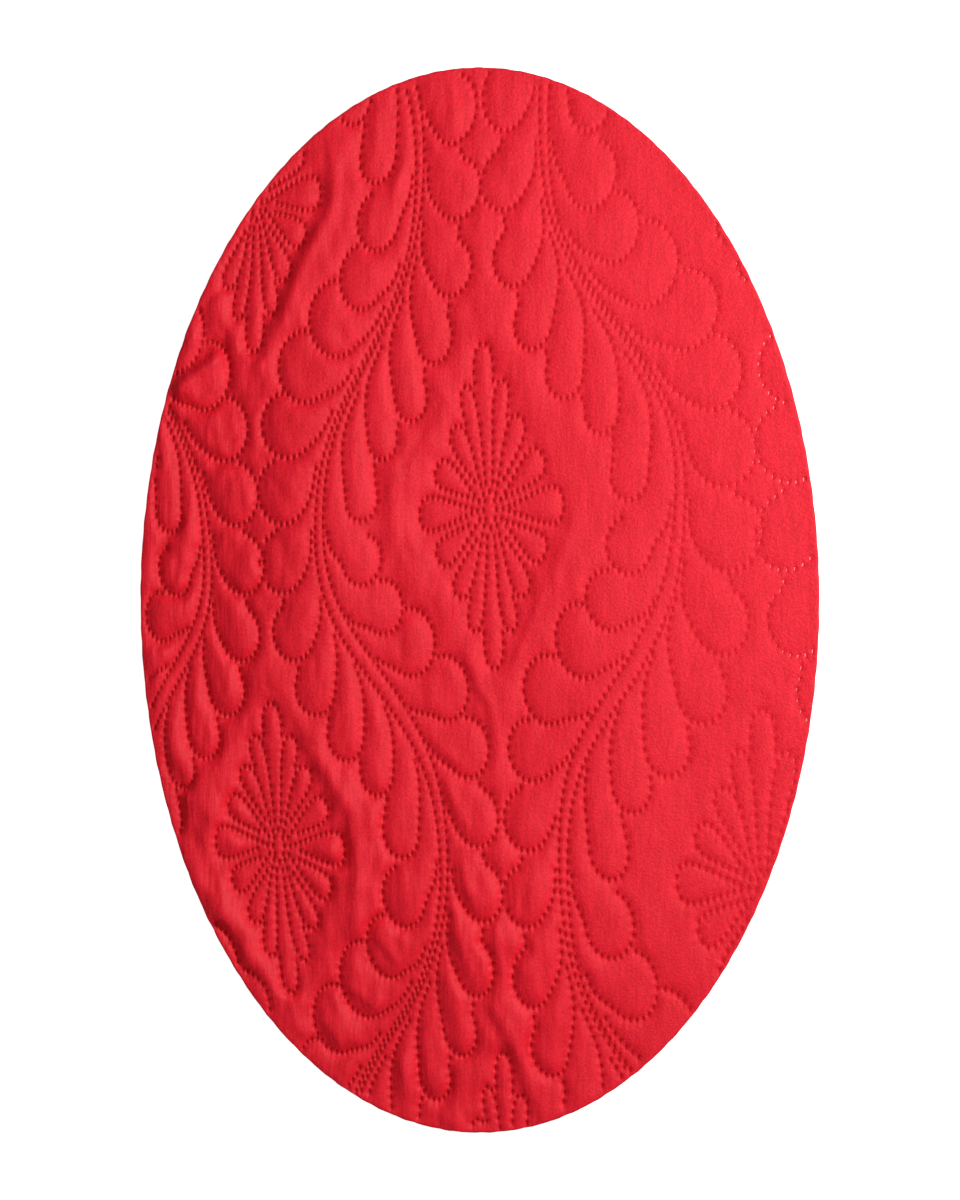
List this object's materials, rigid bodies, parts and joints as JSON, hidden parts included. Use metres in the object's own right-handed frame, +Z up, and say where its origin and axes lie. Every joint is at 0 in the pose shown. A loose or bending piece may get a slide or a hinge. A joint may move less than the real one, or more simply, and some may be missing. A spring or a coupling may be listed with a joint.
{
  "type": "quilted bedspread cloth",
  "caption": "Oval cut length of scarlet quilted bedspread cloth, puffed in a flower and feather design, lying in soft folds.",
  "frame": {"origin": "centre of the oval, on the flat surface that the cloth lies on", "axes": "+Z up out of the cloth's face, +Y along the oval's long axis towards the top of the design, +X to the right across it"},
  "size_m": [0.3808, 0.5976, 0.0102],
  "materials": {
    "scarlet_cloth": "soft brushed microfibre with welded quilting"
  },
  "bodies": {
    "root": {"quilted_cloth": "scarlet_cloth"}
  },
  "joints": []
}
